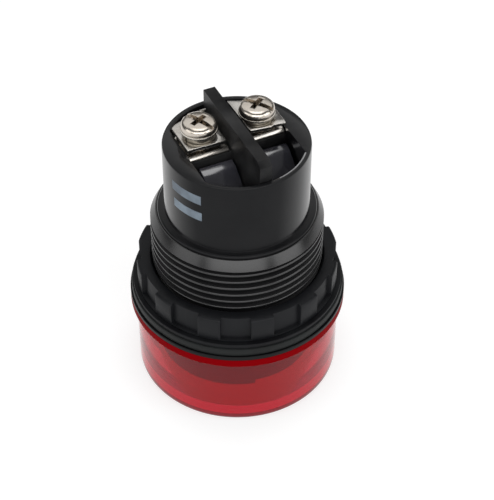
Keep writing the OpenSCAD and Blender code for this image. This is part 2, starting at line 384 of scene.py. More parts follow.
def plating_group():
    """Plated metal: rolled streaks and cloudy tarnish."""
    tree = bpy.data.node_groups.new("plated_surface", "ShaderNodeTree")
    socketed(tree, "Vector", "NodeSocketVector", "INPUT")
    socketed(tree, "Colour", "NodeSocketColor", "INPUT", (0.8, 0.78, 0.74, 1))
    socketed(tree, "Tarnish", "NodeSocketColor", "INPUT", (0.45, 0.38, 0.3, 1))
    socketed(tree, "Tarnish Amount", "NodeSocketFloat", "INPUT", 0.3)
    socketed(tree, "Roughness", "NodeSocketFloat", "INPUT", 0.2)
    socketed(tree, "Colour", "NodeSocketColor", "OUTPUT")
    socketed(tree, "Roughness", "NodeSocketFloat", "OUTPUT")
    socketed(tree, "Height", "NodeSocketFloat", "OUTPUT")
    goes_in = tree.nodes.new("NodeGroupInput").outputs
    goes_out = tree.nodes.new("NodeGroupOutput").inputs
    stretch = tree.nodes.new("ShaderNodeMapping")
    stretch.inputs["Scale"].default_value = (1.0, 14.0, 14.0)
    tree.links.new(goes_in["Vector"], stretch.inputs["Vector"])
    streak = noise_node(tree, stretch.outputs["Vector"], 900.0, 3.0)
    cloud = ramp_node(tree, noise_node(tree, goes_in["Vector"], 420.0, 5.0), 0.45, 0.75)
    amount = math_node(tree, "MULTIPLY", cloud, goes_in["Tarnish Amount"])
    tree.links.new(blend_node(tree, amount, goes_in[1], goes_in["Tarnish"]),
                   goes_out["Colour"])
    rough = math_node(tree, "ADD", goes_in["Roughness"],
                      math_node(tree, "MULTIPLY", streak, 0.12))
    tree.links.new(math_node(tree, "ADD", rough, math_node(tree, "MULTIPLY", cloud, 0.05)),
                   goes_out["Roughness"])
    tree.links.new(streak, goes_out["Height"])
    return tree


MOULDED = grain_group()
PLATED = plating_group()


def blank(name):
    """A new material, its nodes, its shader and the piece's own coordinates."""
    material = bpy.data.materials.new(name)
    material.use_nodes = True
    tree = material.node_tree
    shader = tree.nodes["Principled BSDF"]
    place = tree.nodes.new("ShaderNodeTexCoord").outputs["Object"]
    return material, tree, shader, place


def bumped(tree, shader, height, depth):
    """Feeds a height to the shader's normal; depth in mm."""
    bump = tree.nodes.new("ShaderNodeBump")
    bump.inputs["Strength"].default_value = 1.0
    bump.inputs["Distance"].default_value = depth * MM
    tree.links.new(height, bump.inputs["Height"])
    tree.links.new(bump.outputs["Normal"], shader.inputs["Normal"])


def moulded(name, colour, cloud, rough=0.4, spread=0.15, grain=0.15, depth=0.004,
            specular=0.5, coat=0.0, edge=0.0):
    """Moulded plastic or rubber; edge adds gloss where the surface turns away."""
    material, tree, shader, place = blank(name)
    group = tree.nodes.new("ShaderNodeGroup")
    group.node_tree = MOULDED
    tree.links.new(place, group.inputs["Vector"])
    group.inputs["Colour"].default_value = (*colour, 1)
    group.inputs["Cloud Colour"].default_value = (*cloud, 1)
    group.inputs["Grain mm"].default_value = grain
    group.inputs["Roughness"].default_value = rough
    group.inputs["Spread"].default_value = spread
    tree.links.new(group.outputs["Colour"], shader.inputs["Base Color"])
    tree.links.new(group.outputs["Roughness"], shader.inputs["Roughness"])
    bumped(tree, shader, group.outputs["Height"], depth)
    shader.inputs["Specular IOR Level"].default_value = specular
    shader.inputs["Coat Weight"].default_value = coat
    shader.inputs["Coat Roughness"].default_value = 0.12
    if edge:
        facing = tree.nodes.new("ShaderNodeLayerWeight")
        facing.inputs["Blend"].default_value = 0.5
        turned_away = ramp_node(tree, facing.outputs["Facing"], 0.28, 0.6)
        tree.links.new(math_node(tree, "MULTIPLY", turned_away, edge),
                       shader.inputs["Coat Weight"])
    return material


def plated(name, colour, tarnish, amount=0.3, rough=0.12, depth=0.002):
    """Plated metal with cloudy tarnish."""
    material, tree, shader, place = blank(name)
    group = tree.nodes.new("ShaderNodeGroup")
    group.node_tree = PLATED
    tree.links.new(place, group.inputs["Vector"])
    group.inputs["Colour"].default_value = (*colour, 1)
    group.inputs["Tarnish"].default_value = (*tarnish, 1)
    group.inputs["Tarnish Amount"].default_value = amount
    group.inputs["Roughness"].default_value = rough
    tree.links.new(group.outputs["Colour"], shader.inputs["Base Color"])
    tree.links.new(group.outputs["Roughness"], shader.inputs["Roughness"])
    shader.inputs["Metallic"].default_value = 1.0
    bumped(tree, shader, group.outputs["Height"], depth)
    return material


def red_lens_plastic(name, tint, rough, clear, bending, gloss):
    """Clear red plastic; light from the lamps and the room reaches what is behind it."""
    material, tree, shader, place = blank(name)
    cloud = noise_node(tree, place, 60.0, 3.0)
    paler = (min(1, tint[0] * 1.08), tint[1] * 1.2, tint[2] * 1.2, 1)
    tree.links.new(blend_node(tree, cloud, (*tint, 1), paler), shader.inputs["Base Color"])
    shader.inputs["Transmission Weight"].default_value = clear
    shader.inputs["IOR"].default_value = bending
    shader.inputs["Coat Weight"].default_value = gloss
    shader.inputs["Coat Roughness"].default_value = 0.06
    swirl = noise_node(tree, place, 90.0, 3.0)
    rough_now = math_node(tree, "ADD", rough, math_node(tree, "MULTIPLY", swirl, 0.05))
    tree.links.new(rough_now, shader.inputs["Roughness"])
    bumped(tree, shader, noise_node(tree, place, 700.0, 2.0), 0.001)
    if clear:
        path = tree.nodes.new("ShaderNodeLightPath")
        through = tree.nodes.new("ShaderNodeBsdfTransparent")
        through.inputs["Color"].default_value = (0.80, 0.06, 0.08, 1)
        either = tree.nodes.new("ShaderNodeMixShader")
        tree.links.new(math_node(tree, "MAXIMUM", path.outputs["Is Shadow Ray"],
                                 path.outputs["Is Diffuse Ray"]), either.inputs[0])
        tree.links.new(shader.outputs[0], either.inputs[1])
        tree.links.new(through.outputs[0], either.inputs[2])
        tree.links.new(either.outputs[0], tree.nodes["Material Output"].inputs["Surface"])
    return material


FINISH = {
    "lens": red_lens_plastic("red_lens_wall", (0.57, 0.008, 0.026), rough=0.02, clear=0.92,
                             bending=1.14, gloss=0.4),
    # painted shade: the wall's red plastic with a darker tint, for the dimmer band along the
    # lens's rounded foot
    "foot": red_lens_plastic("red_lens_foot_painted_shade", (0.14, 0.003, 0.009), rough=0.02, clear=0.92,
                             bending=1.14, gloss=0.4),
    "lip": red_lens_plastic("red_lens_lip", (0.18, 0.0003, 0.0018), rough=0.4, clear=0.0,
                            bending=1.05, gloss=0.0),
    "holder": moulded("lamp_holder_plastic", (0.03, 0.02, 0.02), (0.05, 0.03, 0.03), rough=0.5),
    "board": moulded("board_laminate", (0.02, 0.12, 0.05), (0.03, 0.16, 0.07), rough=0.35),
    "led": moulded("lamp_epoxy", (0.6, 0.03, 0.03), (0.7, 0.06, 0.05), rough=0.15, coat=0.5),
    "capacitor": moulded("capacitor_dip", (0.55, 0.25, 0.03), (0.6, 0.3, 0.05), rough=0.3),
    "resistor": moulded("resistor_lacquer", (0.2, 0.4, 0.5), (0.25, 0.45, 0.55), rough=0.4),
    "chip": moulded("rectifier_epoxy", (0.02, 0.02, 0.02), (0.03, 0.03, 0.03), rough=0.5),
    "wire": plated("tinned_wire", (0.7, 0.69, 0.66), (0.5, 0.48, 0.45), amount=0.3, rough=0.3),
    "barrel": moulded("barrel_black", (0.0015, 0.0015, 0.002), (0.004, 0.004, 0.0045),
                      rough=0.25, grain=0.25, depth=0.002, specular=0.6),
    "bezel": moulded("bezel_black", (0.003, 0.003, 0.0035), (0.005, 0.005, 0.0055),
                     rough=0.35, grain=0.25, depth=0.002, specular=0.12),
    "gasket": moulded("gasket_rubber", (0.005, 0.006, 0.006), (0.009, 0.011, 0.011),
                      rough=0.5, spread=0.2, grain=0.2, depth=0.01, specular=0.2),
    "washer": moulded("washer_black", (0.006, 0.006, 0.007), (0.010, 0.011, 0.012),
                      rough=0.4, spread=0.2, grain=0.2, specular=0.1),
    "nut": moulded("nut_black", (0.005, 0.0055, 0.0065), (0.008, 0.0085, 0.010),
                   rough=0.45, spread=0.2, grain=0.22, depth=0.008, specular=0.16),
    "body": moulded("body_charcoal", (0.005, 0.0052, 0.006), (0.007, 0.0072, 0.008),
                    rough=0.30, spread=0.10, grain=0.3, depth=0.003, specular=0.15, edge=1.0),
    # painted highlight: a pale colour on part of the rim's inner slope stands in for a thin
    # bright reflection
    "rim_highlight": moulded("painted_rim_highlight", (0.24, 0.24, 0.245), (0.34, 0.34, 0.35),
                    rough=0.35, grain=0.3, depth=0.003),
    "print": moulded("pale_print_ink", (0.05, 0.065, 0.085), (0.20, 0.25, 0.30),
                     rough=0.45, spread=0.2, grain=0.5, depth=0.003, specular=0.3),
    "block": moulded("block_charcoal", (0.004, 0.004, 0.0045), (0.030, 0.030, 0.0305),
                     rough=0.42, spread=0.25, grain=0.25, depth=0.006, specular=0.18),
    "ramp": moulded("ramp_gloss_black", (0.028, 0.028, 0.036), (0.046, 0.046, 0.058),
                    rough=0.16, spread=0.08, grain=0.4, depth=0.002, specular=1.0, coat=1.0),
    "plate": plated("plate_nickel", (0.55, 0.52, 0.48), (0.36, 0.29, 0.20), amount=0.35,
                    rough=0.18),
    "clamp": plated("clamp_nickel", (0.55, 0.53, 0.50), (0.38, 0.32, 0.25), amount=0.3,
                    rough=0.18),
    "spring": plated("spring_steel", (0.36, 0.33, 0.28), (0.22, 0.18, 0.13), amount=0.5,
                     rough=0.25),
    "flat": plated("washer_nickel", (0.58, 0.55, 0.50), (0.38, 0.32, 0.24), amount=0.35,
                   rough=0.17),
    "screw": plated("screw_nickel", (0.58, 0.53, 0.47), (0.38, 0.31, 0.24), amount=0.35,
                    rough=0.17),
}

# the solids that stay as they are, behind the lens
CARRIED = {
    "circuit_board": "board", "led_front": "led", "led_back": "led", "led_left": "led",
    "led_right": "led", "capacitor": "capacitor", "dropper_resistor": "resistor",
    "rectifier": "chip", "lead_pin_left": "wire", "lead_pin_right": "wire"}

for node, finish in CARRIED.items():
    nodes[node].data.materials.clear()
    nodes[node].data.materials.append(FINISH[finish])


# ---------------------------------------------------------------- sizes taken from the frame

BEZEL_Z = low("barrel").z
SEAT_Z = low("panel_gasket").z
BARREL_TOP = high("barrel").z
LIP_R = high("barrel").x
NUT_Z, NUT_TOP = low("ring_nut").z, high("ring_nut").z
NUT_R = high("ring_nut").x
RIM_Z = high("rear_body").z
THREAD_R, PITCH, THREAD_DEPTH = 15.0, 1.5, 0.92
THREAD_PHASE = 133.0            # where the thread's crest runs out, in degrees
LEAD_IN_H, LEAD_IN = 1.8, 0.95  # the plain cone above the thread
MOUTH_R, BORE_R, MOUTH_DEPTH = 13.83, 12.83, 5.0
BODY_R = 12.45
RECESS_R, FLAT_X, RECESS_DEPTH = 11.5, 9.0, 8
FLOOR_Z = RIM_Z - RECESS_DEPTH
LEDGE = 1.1                     # what the block stands on inside the body
PRINT_ROWS = ((44.8, 46.6, -173.0, -143.0), (41.4, 43.1, -171.0, -142.5))
RIM_SLOPE, RIM_DROP = 0.27, 0.09
# bearings, in degrees, between which the rim slope carries the painted highlight
HIGHLIGHT_FROM, HIGHLIGHT_TO = -78.0, -40.0
TERM_X, TERM_Y = 5.3, 3.4       # the right screw's axis
SIDES = {"left": -1, "right": 1}
TERM_LIFT = {"left": 0.0, "right": 0.45}
PLATE_T, SPRING_T, WASHER_T = 0.9, 1.0, 0.5
TAIL_W, TAIL_T, TAIL_Y = 2.4, 0.9, 2.4  # the plate's tail, behind the screw's axis
TAIL_GAP = 0.05
STEP_Y = TERM_Y - 3.6           # front of the step that the plates lie on
SCREW_R, HEAD_R, HEAD_H = 1.75, 3.05, 1.5
SCREW_PITCH, SCREW_DEPTH = 0.6, 0.36
SCREW_SLOT = {"left": -65.0, "right": -54.0}
LAMPS, LAMP_RING_R, LAMP_HOLE_R = 4, 7.6, 2.7


def flat_sided(radius, half, steps=28):
    """Corners of a circle cut by two flats, as (x, y) in mm."""
    start = math.acos(half / radius)
    points = []
    for base in (start, math.pi + start):
        sweep = math.pi - 2 * start
        points += [(radius * math.cos(base + sweep * i / steps),
                    radius * math.sin(base + sweep * i / steps)) for i in range(steps + 1)]
    return points


# ---------------------------------------------------------------- barrel, gasket, washer, nut

def threaded_barrel():
    """A threaded tube whose thread stops below a plain cone, with the bezel flange under it."""
    lead_in = BARREL_TOP - LEAD_IN_H
    thread = threaded("threaded_barrel", THREAD_R, PITCH, THREAD_DEPTH, SEAT_Z - 0.4,
                      lead_in)
    collar = turned("lead_in_collar", [
        (0, lead_in - 0.5), (THREAD_R - 0.8, lead_in - 0.5), (THREAD_R - 0.12, lead_in - 0.08),
        (THREAD_R - 0.03, lead_in - 0.02), (THREAD_R - 0.01, lead_in + 0.06),
        (THREAD_R - LEAD_IN + 0.06, BARREL_TOP - 0.1), (THREAD_R - LEAD_IN, BARREL_TOP - 0.02),
        (THREAD_R - LEAD_IN - 0.06, BARREL_TOP), (0, BARREL_TOP)])
    carve(thread, collar, "UNION")
    tube = turned("barrel_tube", [
        (BORE_R, SEAT_Z - 1), (THREAD_R + 1, SEAT_Z - 1), (THREAD_R + 1, BARREL_TOP + 1),
        (MOUTH_R, BARREL_TOP + 1), (MOUTH_R, BARREL_TOP - MOUTH_DEPTH),
        (BORE_R, BARREL_TOP - MOUTH_DEPTH)])
    carve(thread, tube, "INTERSECT")
    flange = turned("bezel_flange", [
        (BORE_R, BEZEL_Z), (LIP_R - 0.1, BEZEL_Z), (LIP_R, BEZEL_Z + 0.1),
        (LIP_R, SEAT_Z - 0.12), (LIP_R - 0.12, SEAT_Z), (THREAD_R - 0.5, SEAT_Z),
        (THREAD_R - THREAD_DEPTH, SEAT_Z + 0.25), (BORE_R, SEAT_Z + 0.25)])
    carve(thread, flange, "UNION")
    turn_piece(thread, THREAD_PHASE)
    done(thread, "pilot_light", [FINISH["barrel"], FINISH["bezel"]],
         ["barrel"])
    return painted(thread, 1, lambda reach, z, bearing: z < SEAT_Z + 0.01
                   and reach > THREAD_R + 0.5)


def gasket():
    """The rubber ring between the bezel and the panel."""
    inner, outer = THREAD_R + 0.1, high("panel_gasket").x
    top = high("panel_gasket").z
    ring = turned("panel_gasket_ring", [
        (inner, SEAT_Z), (outer - 0.25, SEAT_Z), (outer - 0.07, SEAT_Z + 0.08),
        (outer, SEAT_Z + 0.28), (outer, top - 0.28), (outer - 0.07, top - 0.08),
        (outer - 0.25, top), (inner, top)])
    return done(ring, "pilot_light", FINISH["gasket"], ["panel_gasket"])


def washer_under_nut():
    """The thin ring that the nut turns on."""
    inner, outer = THREAD_R + 0.07, high("nut_washer").x
    foot, top = low("nut_washer").z, high("nut_washer").z
    ring = turned("washer_under_nut", [
        (inner, foot), (outer - 0.08, foot), (outer, foot + 0.08), (outer, top - 0.1),
        (outer - 0.1, top), (inner, top)])
    return done(ring, "nut_washer_body", FINISH["washer"], ["nut_washer"])


def castle_nut():
    """The ring nut, with a pocket milled between each two of its blocks."""
    bore, foot, pocket = THREAD_R + 0.07, 0.4, 0.8
    blocks, first, width = 12, 19.0, 13.0
    ring = turned("castle_ring_nut", [
        (bore, NUT_Z), (NUT_R - 0.12, NUT_Z), (NUT_R, NUT_Z + 0.12),
        (NUT_R, NUT_TOP - 0.5), (NUT_R - 0.08, NUT_TOP - 0.28), (NUT_R - 0.26, NUT_TOP - 0.1),
        (NUT_R - 0.5, NUT_TOP), (bore + 0.35, NUT_TOP),
        (bore, NUT_TOP - 0.35)], steps=180)
    gap = 360 / blocks - width
    for i in range(blocks):
        middle_of_gap = first + (i + 0.5) * 360 / blocks
        cutter = sector("nut_pocket", [
            (NUT_R - pocket, NUT_Z + foot), (NUT_R + 1.0, NUT_Z + foot),
            (NUT_R + 1.0, NUT_TOP + 1.0), (NUT_R - pocket, NUT_TOP + 1.0)],
            middle_of_gap - gap / 2, gap)
        carve(ring, cutter)
    eased(ring, 0.13, 2, 40)
    return done(ring, "ring_nut_body", FINISH["nut"], ["ring_nut"])


# ---------------------------------------------------------------- rear body and terminal block

def rear_body():
    """The round sleeve: a plug in the barrel's mouth, the recess for the terminals, and a
    painted highlight on part of the rim's inner slope.
    """
    plug_r, plug_z = MOUTH_R - 0.1, BARREL_TOP - MOUTH_DEPTH
    plug_top = BARREL_TOP + 0.5
    shell = turned("rear_body_shell", [
        (0, plug_z), (plug_r - 0.3, plug_z), (plug_r, plug_z + 0.3), (plug_r, plug_top - 0.42),
        (plug_r - 0.04, plug_top - 0.24), (plug_r - 0.13, plug_top - 0.1),
        (plug_r - 0.26, plug_top - 0.02), (plug_r - 0.38, plug_top), (BODY_R + 0.22, plug_top),
        (BODY_R + 0.06, plug_top + 0.06), (BODY_R, plug_top + 0.22), (BODY_R, RIM_Z - 0.28),
        (BODY_R - 0.08, RIM_Z - 0.08), (BODY_R - 0.28, RIM_Z), (0, RIM_Z)])
    ledge_z = plug_top + 1.2
    carve(shell, sheet_cut("recess_cutter", flat_sided(RECESS_R, FLAT_X), ledge_z, 20))
    carve(shell, sheet_cut("shaft_cutter", flat_sided(RECESS_R - LEDGE, FLAT_X - LEDGE),
                           plug_z - 1, 12))
    slope = turned("rim_slope", [
        (0, RIM_Z - RIM_DROP), (RECESS_R, RIM_Z - RIM_DROP),
        (RECESS_R + RIM_SLOPE, RIM_Z + 0.001), (RECESS_R + RIM_SLOPE, RIM_Z + 1),
        (0, RIM_Z + 1)])
    carve(slope, sheet_cut("rim_slope_sides", flat_sided(RECESS_R + 1, FLAT_X), RIM_Z - 1, 3),
          "INTERSECT")
    carve(shell, slope)
    eased(shell, 0.10, 2, 50)
    done(shell, "pilot_light", [FINISH["body"], FINISH["rim_highlight"]], ["rear_body"])
    # painted highlight: the rim slope's faces between these bearings take the pale highlight
    # colour
    return painted(shell, 1, lambda reach, z, bearing:
                   RECESS_R - 0.1 < reach < RECESS_R + RIM_SLOPE
                   and RIM_Z - 0.3 < z < RIM_Z - 0.01 and HIGHLIGHT_FROM < bearing < HIGHLIGHT_TO)


def printed_fields():
    """Two plain pale bars where the body carries its print."""
    bars = []
    for foot, top, start, end in PRINT_ROWS:
        bars.append(sector("printed_field", [
            (BODY_R - 0.05, foot), (BODY_R + 0.015, foot), (BODY_R + 0.015, top),
            (BODY_R - 0.05, top)], start, end - start, 24))
    fields = joined(bars, "printed_fields")
    return done(fields, "pilot_light", FINISH["print"])


def terminal_block():
    """The block under the terminals, stepped up at the back, with the barrier between them."""
    gap = 0.08
    bottom, top = low("terminal_block").z, high("terminal_block").z
    plate_z = high("terminal_plate_left").z - PLATE_T
    plan = flat_sided(RECESS_R - gap, FLAT_X - gap)
    in_front = ((-FAR / 2, -FAR + STEP_Y, 0), (FAR, FAR, 2 * FAR))
    block = sheet_cut("terminal_block_base", plan, bottom, FLOOR_Z - bottom)
    back = sheet_cut("terminal_block_back", plan, FLOOR_Z - 1, plate_z - FLOOR_Z + 1)
    carve(back, bar("front_trim", *in_front))
    lift = sheet_cut("right_seat", plan, plate_z - 1, TERM_LIFT["right"] + 1)
    carve(lift, bar("lift_trim", *in_front))
    carve(lift, bar("lift_side", (-FAR / 2, -FAR / 2, 0), (FAR / 2, FAR, 2 * FAR)))
    carve(back, lift, "UNION")
    carve(block, back, "UNION")
    half, length = 1.05, 11.0
    barrier = bar("barrier", (-half, -length, FLOOR_Z - 2),
                  (2 * half, 2 * length, top - FLOOR_Z + 2))
    nose_l, nose_t, nose_slope = 2.6, 1.2, 40
    nose = bar("nose_chamfer", (-5, -nose_l / 2, -nose_t / 2), (10, nose_l, nose_t))
    turn_piece(nose, nose_slope, axis="X")
    move_piece(nose, (0, -length - 0.05, top - 0.1))
    carve(barrier, nose)
    carve(block, barrier, "UNION")
    for side in SIDES.values():
        carve(block, rod("screw_well", SCREW_R + 0.5, (side * TERM_X, TERM_Y, 42), 8))
        carve(block, bar("tail_slot", (side * TERM_X - TAIL_W / 2 - TAIL_GAP,
                                       TERM_Y + TAIL_Y - TAIL_GAP, bottom - 1),
                         (TAIL_W + 2 * TAIL_GAP, TAIL_T + 2 * TAIL_GAP, 14)))
    eased(block, 0.18, 3, 50)
    return done(block, "pilot_light", FINISH["block"], ["terminal_block"])


def pulled(name, outline, start, end):
    """A bar of constant section: an outline in y and z, pulled along x."""
    points = [(start, y, z) for y, z in outline]
    piece = drawn(name, points + points[:1])
    bpy.ops.mesh.remove_doubles(threshold=WELD)
    bpy.ops.mesh.edge_face_add()
    bpy.ops.mesh.extrude_region_move(
        TRANSFORM_OT_translate={"value": ((end - start) * MM, 0, 0)})
    merged()
    leave()
    return piece


def wire_ramp(side_name):
    """A glossy hump that falls away from the terminal to the front of the recess."""
    node = "wire_ramp_" + side_name
    near, far = low(node), high(node)
    start, end = {"left": (near.x, far.x + 0.3), "right": (near.x, far.x)}[side_name]
    radius, crest, steps, step = 3.2, far.y - 0.15, 10, 4.1
    outline = [(far.y, near.z), (far.y, far.z - 0.1)]
    for i in range(steps + 1):
        turn = math.radians(step * i)
        outline.append((crest - radius * math.sin(turn), far.z - radius * (1 - math.cos(turn))))
    outline += [(near.y + 0.1, near.z + 0.9), (near.y, near.z + 0.7), (near.y, near.z)]
    ramp = pulled("wire_guide_" + side_name, outline, start, end)
    carve(ramp, rod("ramp_round", RECESS_R - 0.3, (0, 0, 38), 12, 128), "INTERSECT")
    eased(ramp, 0.4, 4, 60)
    return done(ramp, "pilot_light", FINISH["ramp"], [node])


def lifted(piece, inside, height):
    """Raises the corners of a piece that lie inside a box (x and y ranges, in mm)."""
    (x0, x1), (y0, y1) = inside
    take(piece)
    edit()
    bpy.ops.mesh.select_all(action="DESELECT")
    leave()
    for vertex in piece.data.vertices:
        x, y = vertex.co.x / MM, vertex.co.y / MM
        vertex.select = x0 < x < x1 and y0 < y < y1
    edit()
    bpy.ops.transform.translate(value=(0, 0, height * MM))
    leave()


def scored(piece, place, direction):
    """Adds a line of edges across a piece, where it is going to bend."""
    take(piece)
    edit()
    bpy.ops.mesh.select_all(action="SELECT")
    bpy.ops.mesh.bisect(plane_co=Vector(place) * MM, plane_no=direction)
    leave()


def fixed_plate(side_name):
    """The tapped plate under the clamp, with a rolled front edge and a tail to the board."""
    side = SIDES[side_name]
    node = "terminal_plate_" + side_name
    top = high(node).z + TERM_LIFT[side_name]
    near, far = {"left": (-8.75, -1.35), "right": (2.9, 8.9)}[side_name]
    front, back_r = low(node).y, RECESS_R - 0.9
    plate = pulled("fixed_plate_" + side_name, [
        (front, top - PLATE_T), (12, top - PLATE_T), (12, top), (front + 0.5, top),
        (front + 0.36, top - 0.06), (front + 0.06, top - 0.5), (front, top - 0.62)], near, far)
    carve(plate, rod("plate_round", back_r, (0, 0, top - 3), 6, 128), "INTERSECT")
    carve(plate, rod("plate_hole", SCREW_R + 0.06, (side * TERM_X, TERM_Y, top - 3), 6))
    tail = bar("plate_tail", (side * TERM_X - TAIL_W / 2, TERM_Y + TAIL_Y, low(node).z),
               (TAIL_W, TAIL_T, top - PLATE_T / 2 - low(node).z))
    carve(plate, tail, "UNION")
    eased(plate, 0.12, 3, 50)
    return done(plate, "pilot_light", FINISH["plate"], [node])


def left_clamp():
    """Loose plate, cropped roughly at the back where it clears the round wall."""
    bottom, top = low("clamp_plate_left").z, high("clamp_plate_left").z
    outline = [(-8.75, 0.22), (-5.72, 0.22), (-5.62, 0.1), (-1.85, 0.1), (-1.85, 9.0),
               (-2.5, 9.25), (-4.0, 9.35), (-4.5, 8.78), (-5.1, 8.98), (-5.8, 8.65),
               (-6.35, 8.0), (-7.9, 7.5), (-8.75, 6.8)]
    plate = sheet_cut("clamp_sheet_left", outline, bottom, top - bottom)
    carve(plate, rod("clamp_hole", SCREW_R + 0.15, (-TERM_X, TERM_Y, bottom - 3), 6))
    eased(plate, 0.2, 3, 40)
    burr = sheet_cut("shearing_burr", [(-2.7, 9.1), (-1.75, 8.62), (-1.62, 8.85),
                                       (-2.5, 9.35)], top - 0.3, 0.32)
    lifted(burr, ((-2.0, -1.5), (8.0, 9.2)), 0.42)
    eased(burr, 0.05, 2, 40)
    plate = joined([plate, burr], "clamp_sheet_left")
    return done(plate, "clamp_left", FINISH["clamp"], ["clamp_plate_left"])


def right_clamp():
    """Loose plate, turned a little on its screw, with its outer front corner bent up."""
    lift = TERM_LIFT["right"]
    bottom, top = low("clamp_plate_right").z + lift, high("clamp_plate_right").z + lift
    outline = [(2.5, 0.16), (6.15, -0.34), (8.68, -0.7), (8.93, 1.2), (8.93, 6.2),
               (7.9, 7.3), (5.0, 8.05), (2.4, 9.15)]
    plate = sheet_cut("clamp_sheet_right", outline, bottom, top - bottom)
    carve(plate, rod("clamp_hole", SCREW_R + 0.55, (TERM_X, TERM_Y, bottom - 3), 6))
    for place, direction in (((6.2, 0), (1, 0, 0)), ((6.6, 0), (1, 0, 0)),
                             ((0, 1.3), (0, 1, 0)), ((0, 0.4), (0, 1, 0))):
        scored(plate, (*place, top), direction)
    lifted(plate, ((6.5, 9.5), (-2.0, 0.5)), 0.32)
    eased(plate, 0.2, 3, 40)
    return done(plate, "clamp_right", FINISH["clamp"], ["clamp_plate_right"])


def split_washer(side_name):
    """A square-section spring washer, cut through; it lies between clamp and plain washer."""
    node = "spring_washer_" + side_name
    foot = low(node).z + TERM_LIFT[side_name]
    top = low(node).z + SPRING_T
    inner, outer = SCREW_R + 0.15, HEAD_R - 0.2
    coil = sector("split_spring_washer_" + side_name, [
        (inner, foot), (outer, foot), (outer, top), (inner, top)], 200, 352, 72)
    eased(coil, 0.12, 2, 50)
    move_piece(coil, (SIDES[side_name] * TERM_X, TERM_Y, 0))
    return done(coil, "clamp_" + side_name, FINISH["spring"], [node])


def plain_washer():
    """A flat washer with rolled edges, on the spring washer."""
    foot = low("spring_washer_left").z + SPRING_T
    inner, outer, thick = SCREW_R + 0.15, HEAD_R + 0.1, WASHER_T
    return turned("plain_washer", [
        (inner, foot), (outer - 0.16, foot), (outer - 0.05, foot + 0.05), (outer, foot + 0.18),
        (outer, foot + thick - 0.18), (outer - 0.05, foot + thick - 0.05),
        (outer - 0.16, foot + thick), (inner, foot + thick)], 96)


def combination_screw():
    """A pan head with a straight slot through a cross recess, on a threaded shank."""
    foot = low("terminal_screw_left").z
    seat = low("spring_washer_left").z + SPRING_T + WASHER_T
    profile = [(0, 0), (HEAD_R - 0.1, 0), (HEAD_R, 0.1), (HEAD_R - 0.02, 0.4),
               (HEAD_R - 0.1, 0.75), (HEAD_R - 0.2, 0.98), (HEAD_R - 0.38, 1.17),
               (HEAD_R - 0.62, 1.30), (HEAD_R - 0.95, 1.39), (HEAD_R * 0.4, 1.47), (0, HEAD_H)]
    head = turned("combination_screw", [(r, seat + z) for r, z in profile], 96)
    top = seat + HEAD_H
    slot_w, slot_deep, cross_w, cross_l, cross_deep = 0.86, 0.72, 0.92, 3.1, 1.35
    carve(head, bar("driver_slot", (-4, -slot_w / 2, top - slot_deep), (8, slot_w, 2)))
    wing = bar("cross_wing", (-cross_l / 2, -cross_w / 2, top - cross_deep),
               (cross_l, cross_w, 2))
    carve(head, copied(wing, "cross_wing_along"))
    carve(head, turn_piece(wing, 90))
    eased(head, 0.06, 2, 50)
    shank = threaded("shank", SCREW_R, SCREW_PITCH, SCREW_DEPTH, foot + 0.6, seat - 0.05, 32)
    core = SCREW_R - SCREW_DEPTH
    tip = turned("tip", [(0, foot), (SCREW_R - 0.75, foot), (core, foot + 0.4),
                         (core, foot + 0.59), (0, foot + 0.59)], 48)
    return joined([head, shank, tip], "combination_screw")


def terminal_stack():
    """The plain washer and the screw are made once and copied to each terminal."""
    stack = [(plain_washer(), "flat_washer", "clamp", "flat", "washer_nickel", 32),
             (combination_screw(), "terminal_screw", "screw", "screw", "screw_nickel", 40)]
    for piece, node, body, finish, slot, smooth in stack:
        name = piece.name
        for side_name, side in SIDES.items():
            one = copied(piece, name + "_" + side_name)
            if node == "terminal_screw":
                turn_piece(one, SCREW_SLOT[side_name])
            move_piece(one, (side * TERM_X, TERM_Y, 0))
            done(one, body + "_" + side_name, FINISH[finish], [node + "_" + side_name],
                 smooth)
        bpy.data.objects.remove(piece)


# ---------------------------------------------------------------- lens, holder and electronics

def lens():
    """The red cap: a face, a wall and a thicker lip that the bezel holds."""
    wall, face, lip, foot = 1.5, 1.5, 15.0, 1.65
    outer = LIP_R - 1.0
    inner = outer - wall
    rings = []
    for ring in (14.6, 12.6, 10.6, 8.6, 6.6, 4.6):
        rings += [(ring + 0.35, face), (ring + 0.2, face + 0.22), (ring - 0.2, face + 0.22),
                  (ring - 0.35, face)]
    cap = turned("red_lens_cap", [
        (0, 0), (outer - 1.0, 0), (outer - 0.62, 0.08), (outer - 0.29, 0.29),
        (outer - 0.08, 0.62), (outer, 1.0), (outer, 1.7), (outer, lip - 0.12),
        (outer + 0.12, lip), (LIP_R - 0.15, lip), (LIP_R, lip + 0.15), (LIP_R, BEZEL_Z - 0.05),
        (LIP_R - 0.05, BEZEL_Z), (inner, BEZEL_Z), (inner, face + 1.1),
        (inner - 0.35, face + 0.45), (inner - 1.1, face)] + rings + [(0, face)], 160)
    done(cap, "pilot_light", [FINISH["lens"], FINISH["lip"], FINISH["foot"]],
         ["lens_cap"])
    painted(cap, 1, lambda reach, z, bearing: z > lip - 0.1)
    # painted shade: the rounded foot takes the darker copy of the red plastic
    return painted(cap, 2, lambda reach, z, bearing: z < foot and reach > outer - 1.0)


